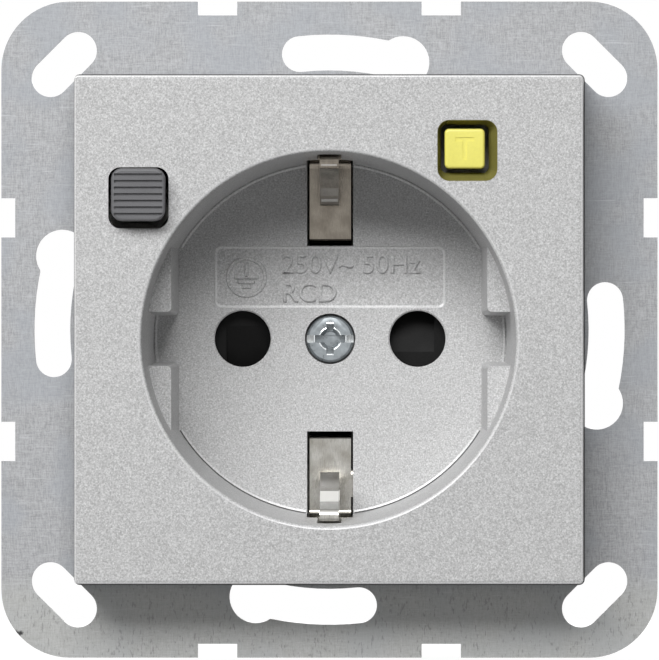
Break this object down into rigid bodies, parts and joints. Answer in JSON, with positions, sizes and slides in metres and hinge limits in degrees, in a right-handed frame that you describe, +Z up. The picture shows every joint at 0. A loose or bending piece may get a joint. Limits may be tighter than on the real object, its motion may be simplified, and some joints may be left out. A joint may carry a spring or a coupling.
{
  "type": "wall socket",
  "caption": "Flush wall socket with side earth clips, a residual current device, ribbed reset button and test button, on a square steel support frame.",
  "frame": {"origin": "centre of the support frame's rear face, which lies on the wall", "axes": "+X right as seen from the room, +Y into the wall, +Z up"},
  "size_m": [0.071, 0.0523, 0.071],
  "materials": {
    "cover_lacquer": "metallic aluminium-coloured lacquer on moulded plastic, fine grain",
    "frame_zinc": "bright zinc plating on sheet steel",
    "clip_nickel": "nickel plating on spring bronze",
    "screw_zinc": "bluish zinc plating on steel",
    "reset_grey": "moulded plastic, fine satin",
    "test_yellow": "moulded plastic, smooth",
    "shutter_black": "moulded plastic",
    "housing_white": "moulded thermoset",
    "works_brown": "moulded thermoset",
    "spring_steel": "bright spring wire",
    "contact_brass": "stamped brass",
    "copper": "copper wire",
    "core_iron": "wound strip core, dark coating",
    "board_green": "glass-filled board with green mask",
    "part_blue": "dipped coating",
    "part_grey": "moulded epoxy"
  },
  "bodies": {
    "root": {"front_cover": "cover_lacquer", "cover_screw": "screw_zinc", "support_frame": "frame_zinc", "frame_screws": "screw_zinc", "front_housing": "housing_white", "rear_housing": "housing_white", "housing_screws": "screw_zinc", "earth_bracket": "clip_nickel", "shutter_spring": "spring_steel", "reset_spring": "spring_steel", "test_spring": "spring_steel", "pin_contact_left": "contact_brass", "pin_contact_right": "contact_brass", "primary_conductor_left": "copper", "primary_conductor_right": "copper", "load_contact_left": "contact_brass", "load_contact_right": "contact_brass", "line_contact_left": "contact_brass", "line_contact_right": "contact_brass", "bridge_spring": "spring_steel", "transformer_core": "core_iron", "secondary_winding": "copper", "latch_pin": "spring_steel", "latch_spring": "spring_steel", "relay_yoke": "frame_zinc", "relay_coil": "copper", "line_terminal_clamps": "frame_zinc", "line_terminal_screws": "screw_zinc", "earth_terminal_clamp": "frame_zinc", "earth_terminal_screw": "screw_zinc", "test_contact": "contact_brass", "circuit_board": "board_green", "test_resistor": "part_blue", "diode": "part_grey", "varistor": "part_blue", "capacitor": "part_grey"},
    "reset_button": {"reset_button": "reset_grey"},
    "contact_bridge": {"contact_bridge": "works_brown", "moving_contact_left": "contact_brass", "moving_contact_right": "contact_brass"},
    "test_button": {"test_button": "test_yellow"},
    "shutter": {"shutter": "shutter_black"},
    "latch_lever": {"latch_lever": "works_brown"},
    "relay_plunger": {"relay_plunger": "spring_steel"}
  },
  "joints": [
    {"name": "reset_press", "type": "slide", "parent": "root", "child": "reset_button", "axis": [0, 1, 0], "range_m": [0, 0.0023], "stiffness_N_per_m": 1200, "deforming": ["reset_spring"]},
    {"name": "bridge_close", "type": "slide", "parent": "root", "child": "contact_bridge", "axis": [0, 1, 0], "range_m": [0, 0.0023], "deforming": ["bridge_spring"]},
    {"name": "test_press", "type": "slide", "parent": "root", "child": "test_button", "axis": [0, 1, 0], "range_m": [0, 0.0012], "stiffness_N_per_m": 700, "deforming": ["test_spring"]},
    {"name": "shutter_turn", "type": "hinge", "parent": "root", "child": "shutter", "pos_m": [0, 0.0115, -0.001], "axis": [0, 1, 0], "range_deg": [0, 40], "stiffness_Nm_per_rad": 0.003},
    {"name": "plunger_push", "type": "slide", "parent": "root", "child": "relay_plunger", "axis": [0, 1, 0], "range_m": [0, 0.0004129], "stiffness_N_per_m": 300},
    {"name": "latch_swing", "type": "hinge", "parent": "root", "child": "latch_lever", "pos_m": [-0.0035, 0.027, 0.0195], "axis": [1, 0, 0], "range_deg": [0, 10], "deforming": ["latch_spring"]}
  ],
  "couplings": [
    {"joint": "bridge_close", "follows": "reset_press", "ratio": 1},
    {"joint": "latch_swing", "follows": "plunger_push", "rad_per_m": 384.6}
  ]
}
